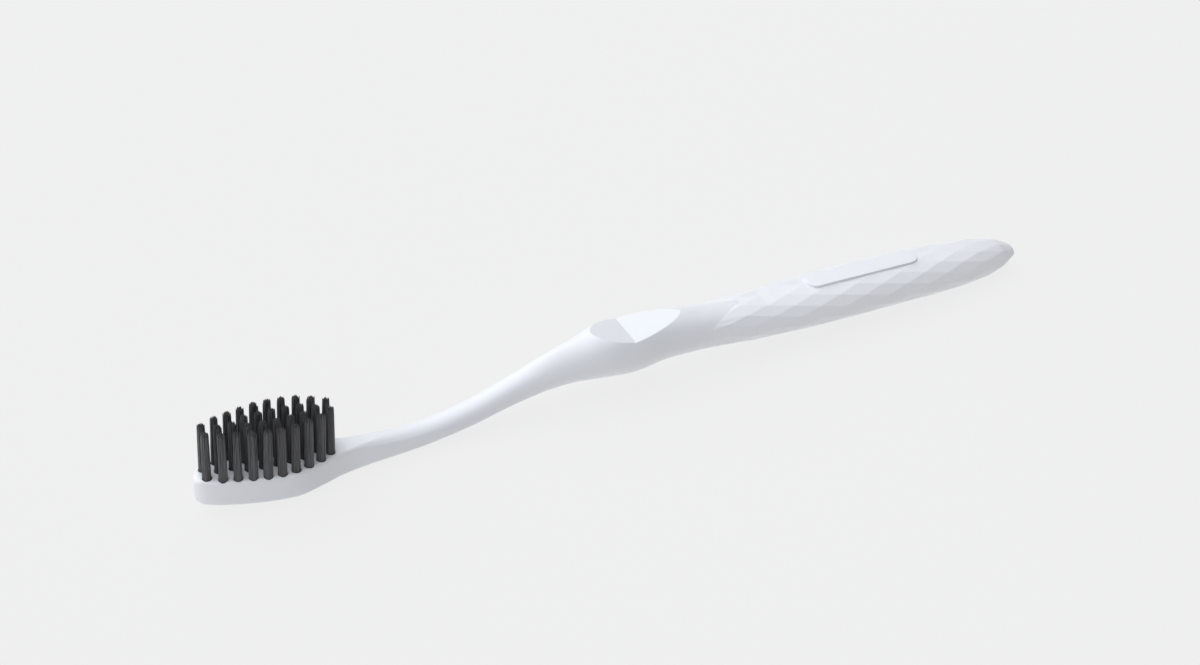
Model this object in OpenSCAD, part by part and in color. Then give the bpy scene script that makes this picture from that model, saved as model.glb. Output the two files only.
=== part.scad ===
// Manual toothbrush lying on its back, bristles up.
// One moulded handle with drilled-in tuft holes, folded bristle bundles in the
// holes and a thin metal anchor across the fold of every bundle.
// X runs from the toe of the head to the end of the handle, Z is up.

/* [Bristle field] */
// distance between tuft columns along the head
tuft_pitch = 2.5; // [2.2:0.1:3]
// diameter of a tuft hole
hole_d = 1.75; // [1.4:0.05:2]
// depth of a tuft hole
hole_depth = 3.6; // [3:0.1:4.2]
// bristle length above the face of the head
tuft_h = 10.1; // [8:0.05:12]
// radial gap between the folded bundle and its hole
tuft_gap = 0.02; // [0.01:0.01:0.05]

/* [Anchors] */
// anchor width across the hole, wider than the hole so that it bites
anchor_w = 2.1; // [1.9:0.05:2.3]
// anchor thickness
anchor_t = 0.3; // [0.2:0.05:0.4]
// anchor height
anchor_h = 1.6; // [1.2:0.1:1.8]
// depth of the anchor's top edge below the face
anchor_top = 1.5; // [1.2:0.1:1.8]
// turn of the anchors from the head's length, so that they don't line up and split it
anchor_turn = 30; // [0:5:60]

/* [Head] */
// thickness of the head
head_t = 5.4; // [4.5:0.1:6]
// rim radius round the bristle face
rim_r = 0.7; // [0.2:0.05:0.9]
// rounding of the face towards the toe
toe_r = 1.2; // [0.4:0.1:1.4]
// edge radius round the back
back_r = 1.1; // [0.6:0.1:1.6]

/* [Handle] */
// roundness of the grip section, 2 is an ellipse
grip_e = 2.1; // [1.9:0.1:2.6]
// distance between rings of grip facets
ring_step = 5.1; // [4.5:0.1:6]
// lean of the facet rings, forward run for each mm of height
ring_lean = 0.45; // [0:0.05:0.6]

/* [Thumb rest] */
// where the hollow starts on the ridge
rest_x0 = 62; // [60:0.1:64]
// where its two flats meet
rest_x1 = 69.5; // [67:0.1:72]
// where it ends on the ridge
rest_x2 = 81; // [78:0.1:84]
// depth of the crease below the ridge
rest_depth = 2.6; // [1.5:0.05:3]

/* [Name plate] */
// length of the bare raised plate
plate_l = 26; // [20:0.5:32]
// width of the plate
plate_w = 4.2; // [3:0.1:6]
// centre of the plate along the handle
plate_x = 122.5; // [118:0.5:126]
// height of the plate over the ridge
plate_up = 0.2; // [0.15:0.05:0.6]

/* [Hidden] */

// tufts in each column, toe to heel, and the reach of the outer tuft from the middle
COLUMNS = [[2, 1.25], [3, 2.5], [3, 3.1], [4, 3.7], [4, 4.2],
           [4, 4.4], [4, 4.25], [4, 3.7], [3, 2.8], [2, 1.4]];
function col_x(c) = (c - 4.5) * tuft_pitch - (c == 9 ? 0.3 : 0);
function tuft_y(c, i) = COLUMNS[c][1] * (2 * i / (COLUMNS[c][0] - 1) - 1);

// stations of the handle: x, top, bottom, half width
toe_x = -13.35;
end_x = 162;
hb = -head_t;
ST = [
  [toe_x, 0, hb, 0.6], [-13, 0, hb, 1.25], [-12.3, 0, hb, 2], [-11.3, 0, hb, 2.65],
  [-9.5, 0, hb, 3.4], [-7, 0, hb, 4.15], [-4, 0, hb, 4.85], [-1, 0, hb, 5.35],
  [2, 0, hb, 5.65], [4.5, 0, hb, 5.55], [7, 0, hb, 4.8], [9.5, 0, hb, 3.9],
  [12, 0, hb, 2.95], [14, 0, hb, 2.35], [15.5, 0.25, -5.15, 2.25], [18, 0.5, -4.7, 2.25],
  [22, 0.5, -4.25, 2.3], [30, 1.2, -3.3, 2.35], [38, 3.4, -1.5, 2.4], [46, 6.8, 1.15, 2.55],
  [54, 10.7, 3.3, 3.2], [59, 12.5, 3.9, 3.85], [62, 13.65, 3.85, 4.35], [66, 14.85, 3.75, 4.9],
  [70, 15.2, 3.7, 5.1], [78, 14.9, 5.2, 4.6], [86, 14.35, 5.6, 4.7],
  [96, 14.3, 5.8, 5.35], [106, 15, 6.3, 6.15], [118, 15.8, 7, 6.5], [130, 16.5, 7.8, 6.4],
  [142, 17, 8.25, 5.9], [149, 17, 8.65, 5.1], [154, 16.7, 9.4, 4.3], [158, 15.9, 10.7, 3.2],
  [161, 14.2, 12.4, 1.3], [end_x, 13, 12.9, 0.1]];
function seg(x, i = 0) = (i >= len(ST) - 2 || x < ST[i + 1][0]) ? i : seg(x, i + 1);
function chord(i, c) = (ST[i + 1][c] - ST[i][c]) / (ST[i + 1][0] - ST[i][0]);
function tangent(i, c) = i == 0 ? chord(0, c) : i == len(ST) - 1 ? chord(i - 1, c)
  : let (h0 = ST[i][0] - ST[i - 1][0], h1 = ST[i + 1][0] - ST[i][0])
    (chord(i - 1, c) * h1 + chord(i, c) * h0) / (h0 + h1);
function at(x, c) = let (i = seg(x), h = ST[i + 1][0] - ST[i][0], u = (x - ST[i][0]) / h)
  (2 * u * u * u - 3 * u * u + 1) * ST[i][c] + (u * u * u - 2 * u * u + u) * h * tangent(i, c)
  + (3 * u * u - 2 * u * u * u) * ST[i + 1][c] + (u * u * u - u * u) * h * tangent(i + 1, c);
heel_x = 14;
function flat_z(x, c) = c == 1 ? (x < 14 ? 0 : at(x, 1)) : (x < heel_x ? hb : at(x, 2));

// the toe rounds over from the face to the back
function round_in(e, r) = e >= r ? 0 : r - sqrt(r * r - (r - e) * (r - e));
function top_z(x) = flat_z(x, 1) - round_in(x - toe_x, toe_r);
function bot_z(x) = flat_z(x, 2) + round_in(x - toe_x, back_r);
function half_w(x) = at(x, 3);

// smooth sections: a box with rounded edges at the head, an oval on the neck and grip
SIDES = 48;
function smooth01(u) = let (v = min(1, max(0, u))) v * v * (3 - 2 * v);
// the face rounds off sooner than the back, and the ridge is sharper beside the thumb rest
function boxness(j, x) = let (a = smooth01((x - 13.5) / 5), b = smooth01((x - 16) / 24), u = smooth01((j - 5) / 9))
  1 - a - (b - a) * u;
function hill(x, c, r) = let (u = (x - c) / r) abs(u) < 1 ? pow(1 - u * u, 2) : 0;
function skin_e(j, x) = grip_e + (j < 12 ? 0.6 * (1 - smooth01((x - 14) / 12)) - 0.45 * hill(x, 55, 11) : 0);
function box_pt(j, w, t, b) = let (r = min(rim_r, 0.6 * w), q = min(back_r, 0.8 * w, 0.45 * (t - b)))
  j <= 4 ? [(w - r) * j / 4, t]
  : j <= 8 ? [w - r + r * sin((j - 4) * 22.5), t - r + r * cos((j - 4) * 22.5)]
  : j <= 12 ? [w, (t - r) + (b + q - t + r) * (j - 8) / 4]
  : j <= 18 ? [w - q + q * cos((j - 12) * 15), b + q - q * sin((j - 12) * 15)]
  : [(w - q) * (24 - j) / 6, b];
function oval_pt(a, w, t, b, e = grip_e) = let (s = sin(a), c = cos(a))
  [w * sign(s) * pow(abs(s), 2 / e), (t + b) / 2 + (t - b) / 2 * sign(c) * pow(abs(c), 2 / e)];
// the upper quarter as an arch with a crease of twice f along the ridge
function arch_pt(a, f, w, t, b, e) = let (g = f + (90 - f) * a / 90, s = (sin(g) - sin(f)) / (1 - sin(f)), c = cos(g) / cos(f))
  [w * pow(max(0, s), 2 / e), (t + b) / 2 + (t - b) / 2 * pow(max(0, c), 2 / e)];
function skin(i, x) = let (j = i <= 24 ? i : SIDES - i, w = half_w(x), t = top_z(x), b = bot_z(x), m = boxness(j, x),
    q = j < 12 ? arch_pt(j * 7.5, 15 * hill(x, 87, 14), w, t, b, skin_e(j, x)) : oval_pt(j * 7.5, w, t, b),
    p = m * box_pt(j, w, t, b) + (1 - m) * q)
  [x, (i <= 24 ? -1 : 1) * p[0], p[1]];

// rings at the toe, along the head and neck, and skewed rings up to where the facets start
TOE = [0, 0.1, 0.25, 0.5, 0.9, 1.5, 2.3, 3.3];
HEAD = [for (k = [0 : 15]) -9.5 + 1.5 * k];
NECK = [for (k = [0 : 33]) heel_x + 2 * k];
FLAT_RINGS = concat([for (e = TOE) toe_x + e], HEAD, NECK);
SKEW = 4;
// the smooth part draws in a little before the facets start
pinch = 0.035;
last_flat = FLAT_RINGS[len(FLAT_RINGS) - 1];
function fold(a) = min(a, 360 - a);
function facet_start(a) = 84.8 + 9.3 * pow(max(0, 1 - fold(a) / 90), 1.6);
smooth_pts = concat(
  [for (x = FLAT_RINGS) for (i = [0 : SIDES - 1]) skin(i, x)],
  [for (s = [1 : SKEW]) for (i = [0 : SIDES - 1])
     let (x = last_flat + (facet_start(i * 7.5) - last_flat) * s / SKEW, p = skin(i, x),
          c = (at(x, 1) + at(x, 2)) / 2, k = 1 - pinch * pow(s / SKEW, 2))
     [x, p[1] * k, c + (p[2] - c) * k]]);
n_rings = len(FLAT_RINGS) + SKEW;
smooth_faces = [for (r = [0 : n_rings - 2]) for (i = [0 : SIDES - 1]) let (a = r * SIDES + i, b = r * SIDES + (i + 1) % SIDES)
     each [[a, b, a + SIDES], [b, b + SIDES, a + SIDES]]];

// facets: twelve corners to a ring, each ring turned by half a step from the last
first_ring = -5;
last_ring = 9;
function ring_x(k) = k < last_ring ? 116 + ring_step * k : 160.6;
function ring_a(k, j) = 30 * j + (k % 2 == 0 ? 15 : 0);
function facet_pt(k, j) = let (a = ring_a(k, j), x0 = ring_x(k), c = cos(a),
    lean = (k >= 8 ? 0.2 : ring_lean), x = x0 - lean * (at(x0, 1) - at(x0, 2)) / 2 * c,
    p = oval_pt(a, half_w(x), at(x, 1), at(x, 2)))
  [x, -p[0], p[1]];
facet_pts = concat([for (k = [first_ring : last_ring]) for (j = [0 : 11]) facet_pt(k, j)], [[end_x, 0, 13]]);
base = len(smooth_pts);
function fi(k, j) = base + (k - first_ring) * 12 + (j + 12) % 12;
facet_faces = concat(
  [for (i = [0 : SIDES - 1]) [i, base + len(facet_pts), (i + 1) % SIDES]],
  [for (m = [0 : 7]) each [[fi(-5, m + 2), fi(-4, m + 2), fi(-4, m + 1)], [fi(-5, m + 2), fi(-5, m + 3), fi(-4, m + 2)]]],
  [[fi(-5, 10), fi(-4, 10), fi(-4, 9)]],
  [for (k = [-4 : last_ring - 1]) for (j = [0 : 11]) each (k % 2 == 0
     ? [[fi(k, j), fi(k + 1, j + 1), fi(k + 1, j)], [fi(k, j), fi(k, j + 1), fi(k + 1, j + 1)]]
     : [[fi(k, j), fi(k, j + 1), fi(k + 1, j)], [fi(k, j + 1), fi(k + 1, j + 1), fi(k + 1, j)]])],
  [for (j = [0 : 11]) [fi(last_ring, j), fi(last_ring, j + 1), base + len(facet_pts) - 1]]);

// the seam joins the last smooth ring to the first facet corners, walking round both by angle
edge_row = [for (i = [0 : SIDES]) [i * 7.5 - 0.01, (n_rings - 1) * SIDES + i % SIDES]];
front_row = concat([[15, fi(-4, 0)], [45, fi(-4, 1)]], [for (j = [2 : 10]) [30 * j, fi(-5, j)]],
  [[315, fi(-4, 10)], [345, fi(-4, 11)], [375, fi(-4, 0)]]);
function seam(i, j) = i == len(edge_row) - 1 && j == len(front_row) - 1 ? []
  : (j == len(front_row) - 1 || (i < len(edge_row) - 1 && edge_row[i + 1][0] <= (front_row[j][0] + front_row[j + 1][0]) / 2))
    ? concat([[edge_row[i][1], edge_row[i + 1][1], front_row[j][1]]], seam(i + 1, j))
    : concat([[edge_row[i][1], front_row[j + 1][1], front_row[j][1]]], seam(i, j + 1));

// resting pose: the heel of the head's back and two facet corners near the end touch the floor
heel = [heel_x, 0, hb];
tail = facet_pt(6, 5);
rest_pitch = atan((tail[2] - heel[2]) / (tail[0] - heel[0]));
function rest_x(x, z) = x * cos(rest_pitch) + z * sin(rest_pitch);
shift_x = -(rest_x(toe_x, hb + back_r) + rest_x(end_x, 13)) / 2;
shift_z = heel[0] * sin(rest_pitch) - hb * cos(rest_pitch);
module rest() translate([shift_x, 0, shift_z]) rotate([0, rest_pitch, 0]) children();

module body() {
  polyhedron(points = concat(smooth_pts, facet_pts, [[toe_x, 0, hb / 2]]),
    faces = [for (f = concat(smooth_faces, facet_faces, seam(0, 0))) [for (i = [len(f) - 1 : -1 : 0]) f[i]]]);
}

module thumb_cut() {
  z0 = at(rest_x0, 1);
  z1 = at(rest_x1, 1) - rest_depth;
  z2 = at(rest_x2, 1);
  rotate([90, 0, 0]) linear_extrude(height = 20, center = true)
    polygon([[rest_x0 - 3, z0 + (z0 - z1) * 3 / (rest_x1 - rest_x0)], [rest_x1, z1],
             [rest_x2 + 3, z2 + (z2 - z1) * 3 / (rest_x2 - rest_x1)], [rest_x2 + 3, 22], [rest_x0 - 3, 22]]);
}

module name_plate() {
  z0 = at(plate_x, 1);
  slope = atan((at(130, 1) - at(118, 1)) / 12);
  translate([plate_x, 0, z0 - 1]) rotate([0, -slope, 0])
    linear_extrude(height = 1 + plate_up) {
      square([plate_l - plate_w, plate_w], center = true);
      for (s = [-1, 1]) translate([s * (plate_l - plate_w) / 2, 0]) circle(d = plate_w, $fn = 48);
    }
}

// the face of the head runs on into the round neck as a flat tongue, which ends where the neck's top drops below it
module face_tongue() translate([12.2, -4, 0]) rotate([0, -3.1, 0]) cube([11, 8, 1.5]);

module anchor_at(c, i) translate([col_x(c), tuft_y(c, i), -anchor_top - anchor_h / 2])
  rotate([0, 0, anchor_turn]) cube([anchor_w, anchor_t, anchor_h], center = true);

module handle() color([0.93, 0.94, 0.95]) rest() difference() {
  union() {
    difference() {
      body();
      thumb_cut();
      face_tongue();
    }
    name_plate();
  }
  for (c = [0 : 9]) for (i = [0 : COLUMNS[c][0] - 1]) {
    translate([col_x(c), tuft_y(c, i), -hole_depth]) cylinder(d = hole_d, h = hole_depth + 1, $fn = 32);
    anchor_at(c, i);
  }
}

// one folded bundle: two legs joined by the fold under the anchor
module tuft(c, i) color([0.22, 0.23, 0.24]) rest() difference() {
  translate([col_x(c), tuft_y(c, i), 0]) rotate_extrude($fn = 32)
    polygon([[0, -hole_depth], [hole_d / 2 - tuft_gap, -hole_depth], [hole_d / 2 - tuft_gap, 0],
             [hole_d / 2, 0.6], [hole_d / 2, tuft_h - 2], [hole_d / 2 - 0.12, tuft_h - 0.7],
             [hole_d / 2 - 0.35, tuft_h - 0.15], [hole_d / 2 - 0.6, tuft_h], [0, tuft_h]]);
  anchor_at(c, i);
}

module anchors(c) color([0.78, 0.66, 0.38]) rest()
  for (i = [0 : COLUMNS[c][0] - 1]) anchor_at(c, i);

handle();
tuft(0, 0);  // tuft_c01_a
tuft(0, 1);  // tuft_c01_b
tuft(1, 0);  // tuft_c02_a
tuft(1, 1);  // tuft_c02_b
tuft(1, 2);  // tuft_c02_c
tuft(2, 0);  // tuft_c03_a
tuft(2, 1);  // tuft_c03_b
tuft(2, 2);  // tuft_c03_c
tuft(3, 0);  // tuft_c04_a
tuft(3, 1);  // tuft_c04_b
tuft(3, 2);  // tuft_c04_c
tuft(3, 3);  // tuft_c04_d
tuft(4, 0);  // tuft_c05_a
tuft(4, 1);  // tuft_c05_b
tuft(4, 2);  // tuft_c05_c
tuft(4, 3);  // tuft_c05_d
tuft(5, 0);  // tuft_c06_a
tuft(5, 1);  // tuft_c06_b
tuft(5, 2);  // tuft_c06_c
tuft(5, 3);  // tuft_c06_d
tuft(6, 0);  // tuft_c07_a
tuft(6, 1);  // tuft_c07_b
tuft(6, 2);  // tuft_c07_c
tuft(6, 3);  // tuft_c07_d
tuft(7, 0);  // tuft_c08_a
tuft(7, 1);  // tuft_c08_b
tuft(7, 2);  // tuft_c08_c
tuft(7, 3);  // tuft_c08_d
tuft(8, 0);  // tuft_c09_a
tuft(8, 1);  // tuft_c09_b
tuft(8, 2);  // tuft_c09_c
tuft(9, 0);  // tuft_c10_a
tuft(9, 1);  // tuft_c10_b
anchors(0);  // anchors_c01
anchors(1);  // anchors_c02
anchors(2);  // anchors_c03
anchors(3);  // anchors_c04
anchors(4);  // anchors_c05
anchors(5);  // anchors_c06
anchors(6);  // anchors_c07
anchors(7);  // anchors_c08
anchors(8);  // anchors_c09
anchors(9);  // anchors_c10
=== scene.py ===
import math

import bmesh
import bpy
import numpy as np
from mathutils import Matrix, Vector


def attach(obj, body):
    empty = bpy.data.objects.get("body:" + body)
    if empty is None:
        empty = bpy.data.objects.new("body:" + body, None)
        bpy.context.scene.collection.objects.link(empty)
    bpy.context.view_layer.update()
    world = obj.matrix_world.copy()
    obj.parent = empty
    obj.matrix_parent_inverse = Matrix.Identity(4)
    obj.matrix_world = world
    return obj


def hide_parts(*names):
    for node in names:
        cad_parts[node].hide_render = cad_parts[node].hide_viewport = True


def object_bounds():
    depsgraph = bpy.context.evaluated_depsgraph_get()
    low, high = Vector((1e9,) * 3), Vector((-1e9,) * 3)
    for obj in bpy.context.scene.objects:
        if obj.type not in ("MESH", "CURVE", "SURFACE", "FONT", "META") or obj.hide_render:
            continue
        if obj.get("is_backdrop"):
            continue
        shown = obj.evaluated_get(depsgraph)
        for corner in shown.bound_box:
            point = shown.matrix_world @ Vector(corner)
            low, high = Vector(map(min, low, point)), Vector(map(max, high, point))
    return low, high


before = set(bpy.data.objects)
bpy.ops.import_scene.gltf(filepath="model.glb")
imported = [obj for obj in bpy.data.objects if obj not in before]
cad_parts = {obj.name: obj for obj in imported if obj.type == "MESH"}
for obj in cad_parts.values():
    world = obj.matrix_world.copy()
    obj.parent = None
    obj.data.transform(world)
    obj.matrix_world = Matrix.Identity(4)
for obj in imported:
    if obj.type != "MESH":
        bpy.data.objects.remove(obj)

cad_box = [list(map(float, v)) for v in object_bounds()]
MM = 0.001

# ---------------------------------------------------------------- the handle's form, as in the CAD, in mm
TUFT_PITCH, HOLE_D, TUFT_H = 2.5, 1.75, 10.1
HEAD_T, RIM_R, TOE_R, BACK_R = 5.4, 0.7, 1.2, 1.1
GRIP_E, RING_STEP, RING_LEAN = 2.1, 5.1, 0.45
PLATE_L, PLATE_W, PLATE_X, PLATE_UP = 26.0, 4.2, 122.5, 0.2
COLUMNS = [(2, 1.25), (3, 2.5), (3, 3.1), (4, 3.7), (4, 4.2), (4, 4.4), (4, 4.25), (4, 3.7), (3, 2.8), (2, 1.4)]
TOE_X, HEEL_X, END_X, HB = -13.35, 14.0, 162.0, -HEAD_T
ST = [
    (TOE_X, 0, HB, 0.6), (-13, 0, HB, 1.25), (-12.3, 0, HB, 2), (-11.3, 0, HB, 2.65),
    (-9.5, 0, HB, 3.4), (-7, 0, HB, 4.15), (-4, 0, HB, 4.85), (-1, 0, HB, 5.35),
    (2, 0, HB, 5.65), (4.5, 0, HB, 5.55), (7, 0, HB, 4.8), (9.5, 0, HB, 3.9),
    (12, 0, HB, 2.95), (14, 0, HB, 2.35), (15.5, 0.25, -5.15, 2.25), (18, 0.5, -4.7, 2.25),
    (22, 0.5, -4.25, 2.3), (30, 1.2, -3.3, 2.35), (38, 3.4, -1.5, 2.4), (46, 6.8, 1.15, 2.55),
    (54, 10.7, 3.3, 3.2), (59, 12.5, 3.9, 3.85), (62, 13.65, 3.85, 4.35), (66, 14.85, 3.75, 4.9),
    (70, 15.2, 3.7, 5.1), (78, 14.9, 5.2, 4.6), (86, 14.35, 5.6, 4.7),
    (96, 14.3, 5.8, 5.35), (106, 15, 6.3, 6.15), (118, 15.8, 7, 6.5), (130, 16.5, 7.8, 6.4),
    (142, 17, 8.25, 5.9), (149, 17, 8.65, 5.1), (154, 16.7, 9.4, 4.3), (158, 15.9, 10.7, 3.2),
    (161, 14.2, 12.4, 1.3), (END_X, 13, 12.9, 0.1),
]


def chord(i, c):
    return (ST[i + 1][c] - ST[i][c]) / (ST[i + 1][0] - ST[i][0])


def tangent(i, c):
    if i == 0:
        return chord(0, c)
    if i == len(ST) - 1:
        return chord(i - 1, c)
    h0, h1 = ST[i][0] - ST[i - 1][0], ST[i + 1][0] - ST[i][0]
    return (chord(i - 1, c) * h1 + chord(i, c) * h0) / (h0 + h1)


def at(x, c):
    i = 0
    while i < len(ST) - 2 and x >= ST[i + 1][0]:
        i += 1
    h = ST[i + 1][0] - ST[i][0]
    u = (x - ST[i][0]) / h
    return ((2 * u**3 - 3 * u**2 + 1) * ST[i][c] + (u**3 - 2 * u**2 + u) * h * tangent(i, c)
            + (3 * u**2 - 2 * u**3) * ST[i + 1][c] + (u**3 - u**2) * h * tangent(i + 1, c))


def flat_z(x, c):
    if c == 1:
        return 0.0 if x < 14 else at(x, 1)
    return HB if x < HEEL_X else at(x, 2)


def round_in(e, r):
    return 0.0 if e >= r else r - math.sqrt(max(0.0, r * r - (r - e) ** 2))


def top_z(x):
    return flat_z(x, 1) - round_in(x - TOE_X, TOE_R)


def bot_z(x):
    return flat_z(x, 2) + round_in(x - TOE_X, BACK_R)


def smooth01(u):
    v = min(1.0, max(0.0, u))
    return v * v * (3 - 2 * v)


def box_pt(j, w, t, b):
    r, q = min(RIM_R, 0.6 * w), min(BACK_R, 0.8 * w, 0.45 * (t - b))
    if j <= 4:
        return (w - r) * j / 4, t
    if j <= 8:
        a = math.radians((j - 4) * 22.5)
        return w - r + r * math.sin(a), t - r + r * math.cos(a)
    if j <= 12:
        return w, (t - r) + (b + q - t + r) * (j - 8) / 4
    if j <= 18:
        a = math.radians((j - 12) * 15)
        return w - q + q * math.cos(a), b + q - q * math.sin(a)
    return (w - q) * (24 - j) / 6, b


def oval_pt(a, w, t, b, e=GRIP_E):
    s, c = math.sin(math.radians(a)), math.cos(math.radians(a))
    return (math.copysign(w * abs(s) ** (2 / e), s),
            (t + b) / 2 + (t - b) / 2 * math.copysign(abs(c) ** (2 / e), c))


def arch_pt(a, f, w, t, b, e):
    """The upper quarter as an arch with a crease of twice f along the ridge."""
    g, r = math.radians(f + (90 - f) * a / 90), math.radians(f)
    s, c = (math.sin(g) - math.sin(r)) / (1 - math.sin(r)), math.cos(g) / math.cos(r)
    return w * max(0.0, s) ** (2 / e), (t + b) / 2 + (t - b) / 2 * max(0.0, c) ** (2 / e)


def hill(x, c, r):
    u = (x - c) / r
    return (1 - u * u) ** 2 if abs(u) < 1 else 0.0


def skin(j, x):
    """Point of the smooth surface at j, from 0 on the ridge to 24 underneath, on the near side."""
    w, t, b = at(x, 3), top_z(x), bot_z(x)
    m0, m1 = smooth01((x - 13.5) / 5), smooth01((x - 16) / 24)
    m = 1 - m0 - (m1 - m0) * smooth01((j - 5) / 9)
    e = GRIP_E + (0.6 * (1 - smooth01((x - 14) / 12)) - 0.45 * hill(x, 55, 11) if j < 12 else 0)
    q = arch_pt(j * 7.5, 15 * hill(x, 87, 14), w, t, b, e) if j < 12 else oval_pt(j * 7.5, w, t, b)
    p = box_pt(j, w, t, b)
    return m * p[0] + (1 - m) * q[0], m * p[1] + (1 - m) * q[1]


def facet_start(a):
    return 84.8 + 9.3 * max(0.0, 1 - min(a, 360 - a) / 90) ** 1.6


def ring_x(k):
    return 116 + RING_STEP * k if k < 9 else 160.6


def facet_pt(k, j):
    a = 30 * j + (15 if k % 2 == 0 else 0)
    x0, c = ring_x(k), math.cos(math.radians(a))
    x = x0 - (0.2 if k >= 8 else RING_LEAN) * (at(x0, 1) - at(x0, 2)) / 2 * c
    p = oval_pt(a, at(x, 3), at(x, 1), at(x, 2))
    return x, -p[0], p[1]


# the resting pose, as in the CAD
HEEL, TAIL = (HEEL_X, 0.0, HB), facet_pt(6, 5)
PITCH = math.atan((TAIL[2] - HEEL[2]) / (TAIL[0] - HEEL[0]))
SP, CP = math.sin(PITCH), math.cos(PITCH)
SHIFT_X = -((TOE_X * CP + (HB + BACK_R) * SP) + (END_X * CP + 13 * SP)) / 2
SHIFT_Z = HEEL[0] * SP - HB * CP
TURN = Matrix(((CP, 0, SP), (0, 1, 0), (-SP, 0, CP)))
SHIFT = Vector((SHIFT_X, 0, SHIFT_Z))
REST = Matrix.Translation(SHIFT * MM) @ TURN.to_4x4() @ Matrix.Scale(MM, 4)


# ---------------------------------------------------------------- materials
def new_material(name):
    m = bpy.data.materials.new(name)
    m.use_nodes = True
    nt = m.node_tree
    nt.nodes.clear()
    out = nt.nodes.new("ShaderNodeOutputMaterial")
    bsdf = nt.nodes.new("ShaderNodeBsdfPrincipled")
    nt.links.new(bsdf.outputs[0], out.inputs[0])
    return m, nt, bsdf


def noise(nt, scale, detail=3.0, stretch=(1, 1, 1), rough=0.5):
    co = nt.nodes.new("ShaderNodeTexCoord")
    mp = nt.nodes.new("ShaderNodeMapping")
    mp.inputs["Scale"].default_value = stretch
    n = nt.nodes.new("ShaderNodeTexNoise")
    n.inputs["Scale"].default_value = scale
    n.inputs["Detail"].default_value = detail
    n.inputs["Roughness"].default_value = rough
    nt.links.new(co.outputs["Object"], mp.inputs["Vector"])
    nt.links.new(mp.outputs[0], n.inputs["Vector"])
    return n


def ramp(nt, fac, stops):
    r = nt.nodes.new("ShaderNodeValToRGB")
    r.color_ramp.elements[0].position, r.color_ramp.elements[0].color = stops[0][0], (*stops[0][1], 1)
    r.color_ramp.elements[1].position, r.color_ramp.elements[1].color = stops[-1][0], (*stops[-1][1], 1)
    for pos, col in stops[1:-1]:
        e = r.color_ramp.elements.new(pos)
        e.color = (*col, 1)
    nt.links.new(fac, r.inputs[0])
    return r


def bump(nt, height, bsdf, strength, distance):
    b = nt.nodes.new("ShaderNodeBump")
    b.inputs["Strength"].default_value = strength
    b.inputs["Distance"].default_value = distance
    nt.links.new(height, b.inputs["Height"])
    nt.links.new(b.outputs[0], bsdf.inputs["Normal"])
    return b


def scaled(nt, fac, low, high):
    r = nt.nodes.new("ShaderNodeMapRange")
    r.inputs["To Min"].default_value = low
    r.inputs["To Max"].default_value = high
    nt.links.new(fac, r.inputs["Value"])
    return r.outputs[0]


def white_plastic():
    m, nt, b = new_material("white_plastic")
    flow = noise(nt, 60, 2.0, (0.35, 1, 1))
    col = ramp(nt, flow.outputs["Fac"], [(0.3, (0.785, 0.805, 0.843)), (0.7, (0.825, 0.84, 0.868))])
    nt.links.new(col.outputs[0], b.inputs["Base Color"])
    grain = noise(nt, 4200, 2.0)
    fine = noise(nt, 420, 3.0)
    nt.links.new(scaled(nt, fine.outputs["Fac"], 0.30, 0.40), b.inputs["Roughness"])
    bump(nt, grain.outputs["Fac"], b, 0.05, 0.00002)
    b.inputs["IOR"].default_value = 1.47
    b.inputs["Subsurface Weight"].default_value = 0.12
    b.inputs["Subsurface Radius"].default_value = (0.0012, 0.0013, 0.0015)
    b.inputs["Subsurface Scale"].default_value = 1.0
    return m


def bristle_plastic():
    m, nt, b = new_material("charcoal_bristle")
    streak = noise(nt, 5200, 2.0, (1, 1, 0.03))
    col = ramp(nt, streak.outputs["Fac"], [(0.3, (0.074, 0.075, 0.079)), (0.55, (0.102, 0.103, 0.108)), (0.75, (0.138, 0.14, 0.146))])
    nt.links.new(col.outputs[0], b.inputs["Base Color"])
    fine = noise(nt, 1500, 2.0, (1, 1, 0.2))
    nt.links.new(scaled(nt, fine.outputs["Fac"], 0.38, 0.55), b.inputs["Roughness"])
    b.inputs["IOR"].default_value = 1.5
    return m


def brass_strip():
    m, nt, b = new_material("anchor_brass")
    streak = noise(nt, 3000, 3.0, (1, 0.08, 1))
    col = ramp(nt, streak.outputs["Fac"], [(0.3, (0.62, 0.47, 0.24)), (0.7, (0.80, 0.64, 0.36))])
    nt.links.new(col.outputs[0], b.inputs["Base Color"])
    nt.links.new(scaled(nt, streak.outputs["Fac"], 0.25, 0.4), b.inputs["Roughness"])
    b.inputs["Metallic"].default_value = 1.0
    return m


WHITE, BRISTLE, BRASS = white_plastic(), bristle_plastic(), brass_strip()


# ---------------------------------------------------------------- the moulded handle
PINCH = 0.035               # the smooth part draws in a little before the facets start
SUB = 3                     # steps of the fine skin for one step of the CAD's
N = 48 * SUB


def ring_row(x_of, draw_in=0.0):
    row = []
    for i in range(N):
        j = i / SUB if i <= N // 2 else (N - i) / SUB
        x = x_of(i * 360 / N)
        p = skin(j, x)
        c, k = (at(x, 1) + at(x, 2)) / 2, 1 - draw_in
        row.append((x, (-p[0] if i <= N // 2 else p[0]) * k, c + (p[1] - c) * k))
    return row


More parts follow.
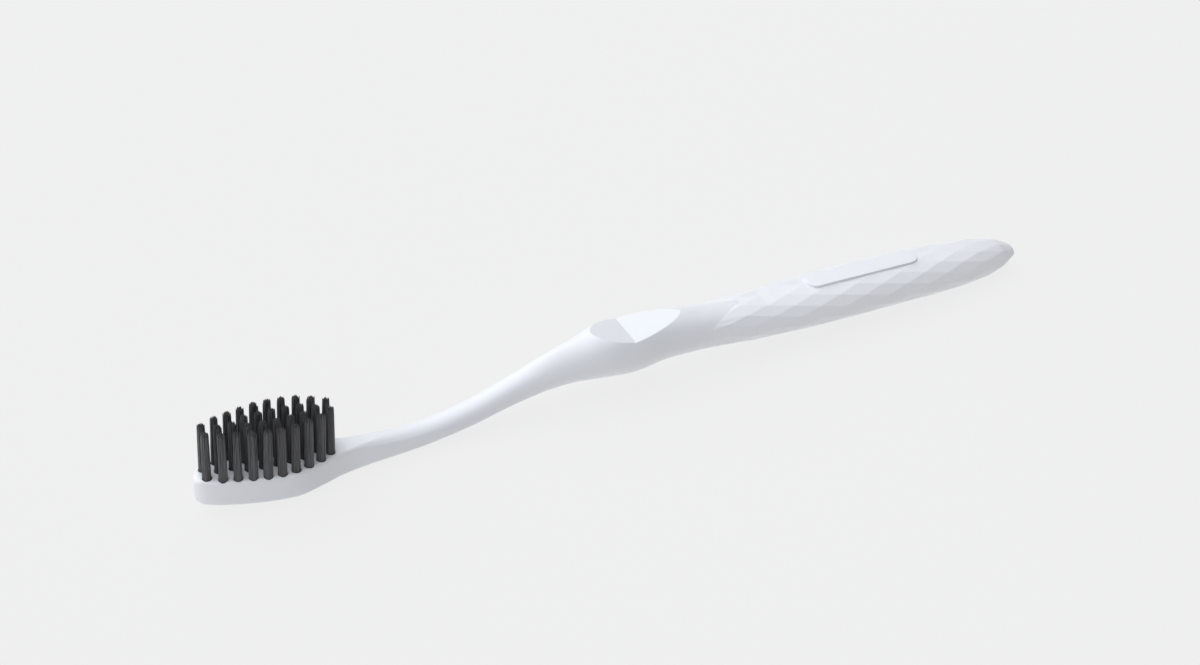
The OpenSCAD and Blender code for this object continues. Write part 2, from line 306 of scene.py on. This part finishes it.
def handle_mesh():
    bm = bmesh.new()
    toe = [0, 0.012, 0.035, 0.07, 0.12, 0.18, 0.25, 0.33, 0.42, 0.53, 0.66, 0.8, 0.95, 1.1, 1.25, 1.5, 1.85, 2.25, 2.75, 3.3]
    xs = [TOE_X + e for e in toe] + list(np.arange(-9.5, 80.01, 0.5))
    rows = [[bm.verts.new(p) for p in ring_row(lambda a, x=x: x)] for x in xs]
    last, skew = xs[-1], 22
    for s in range(1, skew + 1):
        rows.append([bm.verts.new(p) for p in ring_row(lambda a, s=s: last + (facet_start(a) - last) * s / skew, PINCH * (s / skew) ** 2)])
    for a, b in zip(rows, rows[1:]):
        for i in range(N):
            k = (i + 1) % N
            bm.faces.new((a[i], a[k], b[k], b[i])).smooth = True
    for i in range(N):              # the smooth part ends in a crisp edge
        e = bm.edges.get((rows[-1][i], rows[-1][(i + 1) % N]))
        e.smooth = False
    for a, b in zip(rows, rows[1:]):
        if a[0].co.x > 78:          # and carries a crease along its ridge
            bm.edges.get((a[0], b[0])).smooth = False
    cap = bm.verts.new((TOE_X, 0, HB / 2))
    for i in range(N):
        bm.faces.new((rows[0][(i + 1) % N], rows[0][i], cap)).smooth = True

    # facets: the grip's lattice, then the strip that joins it to the smooth part's curved edge
    V = {(k, j): bm.verts.new(facet_pt(k, j)) for k in range(-5, 10) for j in range(12)
         if not (k == -5 and j in (11, 0, 1))}
    pole = bm.verts.new((END_X, 0, 13))
    v = lambda k, j: V[(k, j % 12)]
    tris = []
    for m in range(8):
        tris += [(v(-5, m + 2), v(-4, m + 2), v(-4, m + 1)), (v(-5, m + 2), v(-5, m + 3), v(-4, m + 2))]
    tris.append((v(-5, 10), v(-4, 10), v(-4, 9)))
    for k in range(-4, 9):
        for j in range(12):
            tris += ([(v(k, j), v(k + 1, j + 1), v(k + 1, j)), (v(k, j), v(k, j + 1), v(k + 1, j + 1))] if k % 2 == 0
                     else [(v(k, j), v(k, j + 1), v(k + 1, j)), (v(k, j + 1), v(k + 1, j + 1), v(k + 1, j))])
    tris += [(v(9, j), v(9, j + 1), pole) for j in range(12)]
    edge = [(i * 360 / N - 0.01, rows[-1][i % N]) for i in range(N + 1)]
    front = ([(15, v(-4, 0)), (45, v(-4, 1))] + [(30 * j, v(-5, j)) for j in range(2, 11)]
             + [(315, v(-4, 10)), (345, v(-4, 11)), (375, v(-4, 0))])
    edge = [e for e in edge if e[0] >= -1]
    i, j = 0, 0
    lead = front[-2][0] - 360
    while i < len(edge) - 1 or j < len(front) - 1:
        stay = j == len(front) - 1 or (i < len(edge) - 1 and edge[i + 1][0] <= (front[j][0] + front[j + 1][0]) / 2)
        if stay:
            tris.append((edge[i][1], edge[i + 1][1], front[j][1]))
            i += 1
        else:
            tris.append((edge[i][1], front[j + 1][1], front[j][1]))
            j += 1
    lattice = {q for q in V.values()} | {pole}
    for t in tris:
        bm.faces.new(t).smooth = False
    bm.normal_update()
    # the edges between facets are broken by a tenth of a millimetre
    edges = [e for e in bm.edges if len(e.link_faces) == 2 and all(q in lattice for f in e.link_faces for q in f.verts)
             and e.calc_face_angle(0) > math.radians(3)]
    bmesh.ops.bevel(bm, geom=edges, offset=0.1, offset_type="OFFSET", segments=1, profile=0.5, affect="EDGES", clamp_overlap=True)
    bm.normal_update()
    return bm


def cut_thumb_rest(bm):
    """The V-shaped hollow: two planes across the ridge that meet at x 69.5."""
    x0, x1, x2 = 62.0, 69.5, 81.0
    z0, z1, z2 = at(x0, 1), at(x1, 1) - 2.6, at(x2, 1)
    lines = [((x0 - 3, z0 + (z0 - z1) * 3 / (x1 - x0)), (x1, z1)), ((x1, z1), (x2 + 3, z2 + (z2 - z1) * 3 / (x2 - x1)))]
    height = lambda l, x: l[0][1] + (l[1][1] - l[0][1]) * (x - l[0][0]) / (l[1][0] - l[0][0])
    for side, line in enumerate(lines):
        lo, hi = (x0 - 4, x1 + 1e-4) if side == 0 else (x1 - 1e-4, x2 + 3)
        faces = [f for f in bm.faces if f.smooth and all(lo <= q.co.x <= hi and q.co.z > 9 for q in f.verts)]
        geom = set(faces) | {e for f in faces for e in f.edges} | {q for f in faces for q in f.verts}
        dx, dz = line[1][0] - line[0][0], line[1][1] - line[0][1]
        bmesh.ops.bisect_plane(bm, geom=list(geom), dist=1e-5, plane_co=(line[0][0], 0, line[0][1]), plane_no=(-dz, 0, dx))
    bmesh.ops.remove_doubles(bm, verts=[q for q in bm.verts if abs(q.co.x - x1) < 0.01], dist=0.002)
    gone = []
    for f in bm.faces:
        c = f.calc_center_median()
        if x0 - 4 < c.x < x2 + 3 and c.z > 11:
            line = lines[0] if c.x < x1 else lines[1]
            if c.z > height(line, c.x) + 1e-6:
                gone.append(f)
    bmesh.ops.delete(bm, geom=gone, context="FACES")
    rim = [e for e in bm.edges if len(e.link_faces) == 1]
    for e in rim:
        e.smooth = False
    corners = sorted({q for e in rim for q in e.verts if abs(q.co.x - x1) < 1e-3}, key=lambda q: q.co.y)
    near, far = corners[0], corners[-1]
    nxt = {}
    for e in rim:
        a, b = e.verts
        nxt.setdefault(a, []).append(b)
        nxt.setdefault(b, []).append(a)
    for side in (-1, 1):
        path = [near]
        step = [q for q in nxt[near] if (q.co.x - x1) * side > 0][0]
        while step != far:
            path.append(step)
            step = [q for q in nxt[step] if q not in path[-2:]][0]
        path.append(far)
        f = bm.faces.new(path if side > 0 else path[::-1])
        f.normal_update()
        if f.normal.z < 0:
            f.normal_flip()
        f.smooth = False
    bmesh.ops.triangulate(bm, faces=[f for f in bm.faces if len(f.verts) > 4])


def tuft_xy(c, i):
    n, reach = COLUMNS[c]
    return (c - 4.5) * TUFT_PITCH - (0.3 if c == 9 else 0), reach * (2 * i / (n - 1) - 1)


def cut_head(bm):
    """The face of the head runs on into the round neck as a flat tongue, and the tuft holes open in it."""
    cutter = bmesh.new()
    bmesh.ops.create_cube(cutter, size=1)
    bmesh.ops.transform(cutter, matrix=Matrix.Translation((12.2, 0, 0)) @ Matrix.Rotation(math.radians(-3.1), 4, "Y")
                        @ Matrix.Diagonal((11, 8, 1.5, 1)) @ Matrix.Translation((0.5, 0, 0.5)), verts=cutter.verts)
    for c in range(10):
        for i in range(COLUMNS[c][0]):
            bmesh.ops.create_cone(cutter, cap_ends=True, segments=32, radius1=HOLE_D / 2 + 0.03, radius2=HOLE_D / 2 + 0.03,
                                  depth=2.4, matrix=Matrix.Translation((*tuft_xy(c, i), 0)))
    obs = []
    for name, b in (("cut_body", bm), ("cut_tool", cutter)):
        me = bpy.data.meshes.new(name)
        b.to_mesh(me)
        ob = bpy.data.objects.new(name, me)
        bpy.context.scene.collection.objects.link(ob)
        obs.append(ob)
    cutter.free()
    mod = obs[0].modifiers.new("cut", "BOOLEAN")
    mod.operation, mod.solver, mod.object = "DIFFERENCE", "EXACT", obs[1]
    bpy.context.view_layer.update()
    done = obs[0].evaluated_get(bpy.context.evaluated_depsgraph_get()).to_mesh()
    bm.clear()
    bm.from_mesh(done)
    obs[0].evaluated_get(bpy.context.evaluated_depsgraph_get()).to_mesh_clear()
    for ob in obs:
        me = ob.data
        bpy.data.objects.remove(ob)
        bpy.data.meshes.remove(me)
    for e in bm.edges:
        if len(e.link_faces) == 2 and e.link_faces[0].smooth != e.link_faces[1].smooth:
            e.smooth = False


def to_object(bm, name, material, slot, *replaced):
    me = bpy.data.meshes.new(name)
    bm.to_mesh(me)
    bm.free()
    me.transform(REST)
    me.materials.append(material)
    ob = bpy.data.objects.new(name, me)
    bpy.context.scene.collection.objects.link(ob)
    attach(ob, "root")
    if replaced:
        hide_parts(*replaced)
    return ob


bm = handle_mesh()
cut_thumb_rest(bm)
cut_head(bm)
handle = to_object(bm, "handle_moulding", WHITE, "white_plastic", "handle")


# ---------------------------------------------------------------- the bare name plate
def name_plate():
    """A stadium with a softly rounded top edge, set on the ridge."""
    bm = bmesh.new()
    slope = math.atan((at(130, 1) - at(118, 1)) / 12)
    n, r = 40, 0.1
    profile = [(0.0, -1.0), (0.0, PLATE_UP - r)]
    profile += [(r * (1 - math.cos(math.radians(a))), PLATE_UP - r + r * math.sin(math.radians(a))) for a in (15, 30, 45, 60, 75, 90)]
    profile += [(0.5, PLATE_UP + 0.015), (0.9, PLATE_UP + 0.03), (1.5, PLATE_UP + 0.04)]
    rows = []
    for inset, z in profile:
        rad, row = PLATE_W / 2 - inset, []
        for s in (1, -1):
            for q in range(n // 2 + 1):
                a = math.radians(-90 + 180 * q / (n // 2)) if s > 0 else math.radians(90 + 180 * q / (n // 2))
                row.append((s * (PLATE_L - PLATE_W) / 2 + rad * math.cos(a), rad * math.sin(a), z))
        rows.append(row)
    vs = [[bm.verts.new(p) for p in row] for row in rows]
    for a, b in zip(vs, vs[1:]):
        for i in range(len(a)):
            k = (i + 1) % len(a)
            bm.faces.new((a[i], a[k], b[k], b[i])).smooth = True
    bm.faces.new(vs[-1]).smooth = True
    bm.faces.new(vs[0][::-1]).smooth = False
    bmesh.ops.triangulate(bm, faces=[f for f in bm.faces if len(f.verts) > 4])
    bmesh.ops.transform(bm, matrix=Matrix.Translation((PLATE_X, 0, at(PLATE_X, 1))) @ Matrix.Rotation(-slope, 4, "Y"), verts=bm.verts)
    bm.normal_update()
    return to_object(bm, "name_plate_blank", WHITE, "white_plastic")


name_plate()


# ---------------------------------------------------------------- the bristles, filament by filament
def filament(path, radii, sides, verts, faces, turn):
    base = len(verts)
    for (x, y, z), r in zip(path, radii):
        for s in range(sides):
            a = turn + 2 * math.pi * s / sides
            verts.append((x + r * math.cos(a), y + r * math.sin(a), z))
    for k in range(len(path) - 1):
        for s in range(sides):
            n = (s + 1) % sides
            faces.append((base + k * sides + s, base + k * sides + n, base + (k + 1) * sides + n, base + (k + 1) * sides + s))
    faces.append(tuple(base + (len(path) - 1) * sides + s for s in range(sides)))
    faces.append(tuple(base + s for s in reversed(range(sides))))


def tuft(c, i, rng):
    cx, cy = tuft_xy(c, i)
    verts, faces = [], []
    pitch, rad = 0.212, HOLE_D / 2 - 0.09
    off = rng.uniform(-0.5, 0.5, 2) * pitch
    lean = rng.normal(0, 0.05, 2)
    for a in range(-5, 6):
        for b in range(-6, 7):
            x, y = (a + 0.5 * (b % 2)) * pitch + off[0], b * pitch * 0.866 + off[1]
            x, y = x + rng.normal(0, 0.015), y + rng.normal(0, 0.015)
            rr = math.hypot(x, y) / rad
            if rr > 1:
                continue
            tip = 0.84 + rng.normal(0, 0.05)
            tx, ty = x * tip + lean[0] + rng.normal(0, 0.05), y * tip + lean[1] + rng.normal(0, 0.05)
            k = min(1.0, rad / max(1e-6, math.hypot(tx, ty)))
            tx, ty = tx * k, ty * k
            top = TUFT_H - 0.02 - 0.34 * rr * rr - min(0.6, abs(rng.normal(0, 0.22)))
            r0 = 0.1 + rng.normal(0, 0.004)
            path, radii = [], []
            for z, q in ((-1.3, 1), (0.0, 1), (0.35 * top, 0.99), (0.7 * top, 0.94), (top - 0.7, 0.85), (top - 0.3, 0.66), (top - 0.08, 0.42), (top, 0.18)):
                u = max(0.0, z / top)
                g = u ** 1.5
                path.append((cx + x + (tx - x) * g, cy + y + (ty - y) * g, z))
                radii.append(r0 * q)
            filament(path, radii, 6, verts, faces, rng.uniform(0, 6.28))
    me = bpy.data.meshes.new("m")
    me.from_pydata(verts, [], faces)
    bm = bmesh.new()
    bm.from_mesh(me)
    bpy.data.meshes.remove(me)
    for f in bm.faces:
        f.smooth = True
    tag = "c%02d_%s" % (c + 1, "abcd"[i])
    return to_object(bm, "bristles_" + tag, BRISTLE, "charcoal_bristle", "tuft_" + tag)


rng = np.random.default_rng(7)
for c in range(10):
    for i in range(COLUMNS[c][0]):
        tuft(c, i, rng)

for c in range(10):
    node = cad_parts["anchors_c%02d" % (c + 1)]
    node.data.materials.clear()
    node.data.materials.append(BRASS)


# ---------------------------------------------------------------- floor, light and camera
def stage_floor():
    bm = bmesh.new()
    bmesh.ops.create_grid(bm, x_segments=8, y_segments=8, size=6.0)
    me = bpy.data.meshes.new("floor")
    bm.to_mesh(me)
    bm.free()
    ob = bpy.data.objects.new("floor", me)
    bpy.context.scene.collection.objects.link(ob)
    m, nt, b = new_material("pale_floor")
    n = noise(nt, 3, 2.0)
    col = ramp(nt, n.outputs["Fac"], [(0.3, (0.08, 0.08, 0.08)), (0.7, (0.082, 0.082, 0.082))])
    nt.links.new(col.outputs[0], b.inputs["Base Color"])
    b.inputs["Roughness"].default_value = 0.9
    b.inputs["Specular IOR Level"].default_value = 0.0
    b.inputs["Emission Color"].default_value = (1, 1, 1, 1)
    b.inputs["Emission Strength"].default_value = 0.778
    me.materials.append(m)
    ob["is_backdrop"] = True


def area(name, loc, target, size, power, colour=(1, 1, 1)):
    l = bpy.data.lights.new(name, "AREA")
    l.shape, l.size, l.size_y = "RECTANGLE", size[0], size[1]
    l.energy, l.color = power, colour
    ob = bpy.data.objects.new(name, l)
    ob.location = loc
    ob.rotation_euler = (Vector(target) - Vector(loc)).to_track_quat("-Z", "Y").to_euler()
    bpy.context.scene.collection.objects.link(ob)


stage_floor()
area("key_soft", (-0.16, 0.53, 1.28), (0, 0, 0), (3.2, 3.2), 29.8)

world = bpy.data.worlds.new("studio")
bpy.context.scene.world = world
world.use_nodes = True
bg = world.node_tree.nodes["Background"]
bg.inputs["Color"].default_value = (0.93, 0.95, 1.0, 1)
# a soft studio dome that is brightest up and to the left
wt = world.node_tree
where = wt.nodes.new("ShaderNodeTexCoord")
side = wt.nodes.new("ShaderNodeVectorMath")
side.operation = "DOT_PRODUCT"
side.inputs[1].default_value = (-0.915, 0.1, 1.314)
fade = wt.nodes.new("ShaderNodeMapRange")
fade.inputs["From Min"].default_value, fade.inputs["From Max"].default_value = 0.6, 1.0
fade.inputs["To Min"].default_value, fade.inputs["To Max"].default_value = 0.015, 0.96
wt.links.new(where.outputs["Generated"], side.inputs[0])
wt.links.new(side.outputs["Value"], fade.inputs["Value"])
wt.links.new(fade.outputs[0], bg.inputs["Strength"])

# the photograph's camera, fitted to its outlines and to the pitch of the tufts: a 50 mm lens, nearly level
AZ, EL, ROLL = map(math.radians, (29.51, 33.66, 6.06))
right = Vector((math.cos(AZ), -math.sin(AZ), 0))
ahead = Vector((math.sin(AZ) * math.cos(EL), math.cos(AZ) * math.cos(EL), -math.sin(EL)))
up = right.cross(ahead)
row_r = right * math.cos(ROLL) + up * math.sin(ROLL)
row_u = -right * math.sin(ROLL) + up * math.cos(ROLL)
turn = Matrix((row_r, row_u, -ahead))
eye = -(turn.transposed() @ Vector((-58.4, -22.5, -293.5)))
cam_data = bpy.data.cameras.new("photo_camera")
cam_data.lens, cam_data.sensor_width, cam_data.sensor_fit = 50.0, 36.0, "HORIZONTAL"
cam_data.clip_start, cam_data.clip_end = 0.01, 50.0
cam = bpy.data.objects.new("photo_camera", cam_data)
bpy.context.scene.collection.objects.link(cam)
pose = (TURN @ turn.transposed()).to_4x4()
pose.translation = (TURN @ eye + SHIFT) * MM
cam.matrix_world = pose
bpy.context.scene.camera = cam

bpy.context.scene.view_settings.view_transform = "Standard"
bpy.context.scene.view_settings.look = "None"

{"cad": cad_box, "visual": [list(map(float, v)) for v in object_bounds()]}
